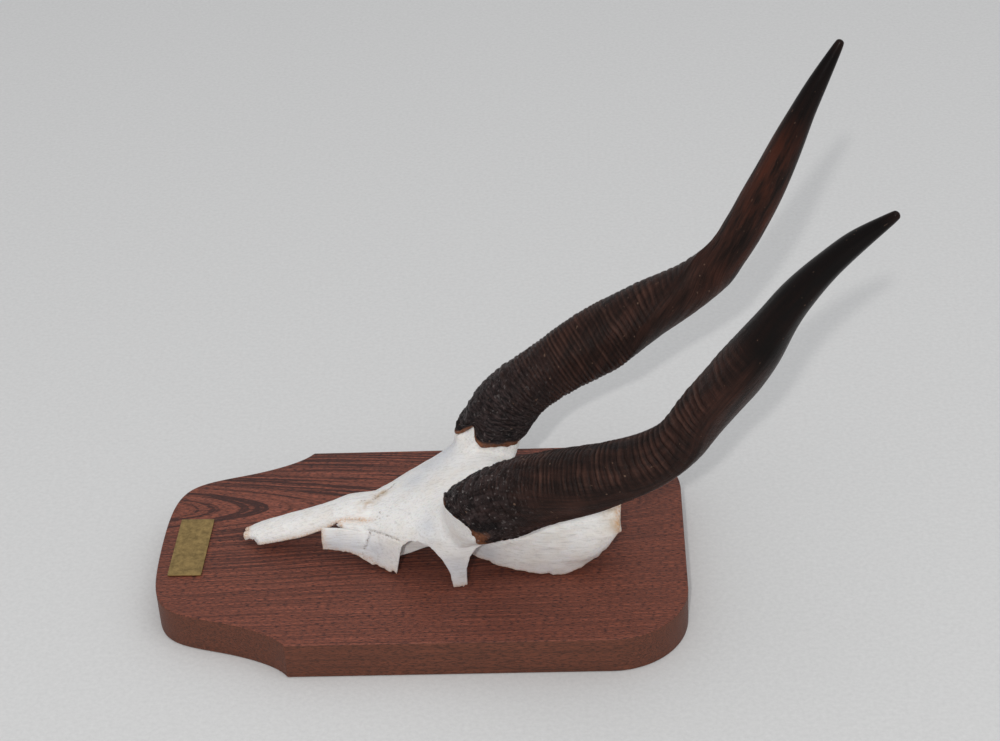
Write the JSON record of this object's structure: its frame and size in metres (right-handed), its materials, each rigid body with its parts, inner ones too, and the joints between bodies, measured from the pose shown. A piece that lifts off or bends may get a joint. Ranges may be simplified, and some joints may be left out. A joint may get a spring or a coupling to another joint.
{
  "type": "mounted bushbuck skull",
  "caption": "Bleached bushbuck skull cap with nose bones and two dark spiral horns, laid on a shaped hardwood plaque with a small bare brass plate.",
  "frame": {"origin": "centre of the plaque's back face, which the mount lies on", "axes": "+Z out of the board's face, +X along the board to its horn end, the nose points along -X, the left horn is on the -Y side"},
  "size_m": [0.3849, 0.2084, 0.2986],
  "materials": {
    "hardwood": "satin, open pored, dark reddish brown",
    "brass_plate": "dull, lightly tarnished",
    "bone": "bleached bone, matte",
    "horn": "dark horn, ridged and rough at the base, polished towards the tip"
  },
  "bodies": {
    "root": {"plaque": "hardwood", "name_plate": "brass_plate", "skull": "bone", "horn_left": "horn", "horn_right": "horn"}
  },
  "joints": []
}
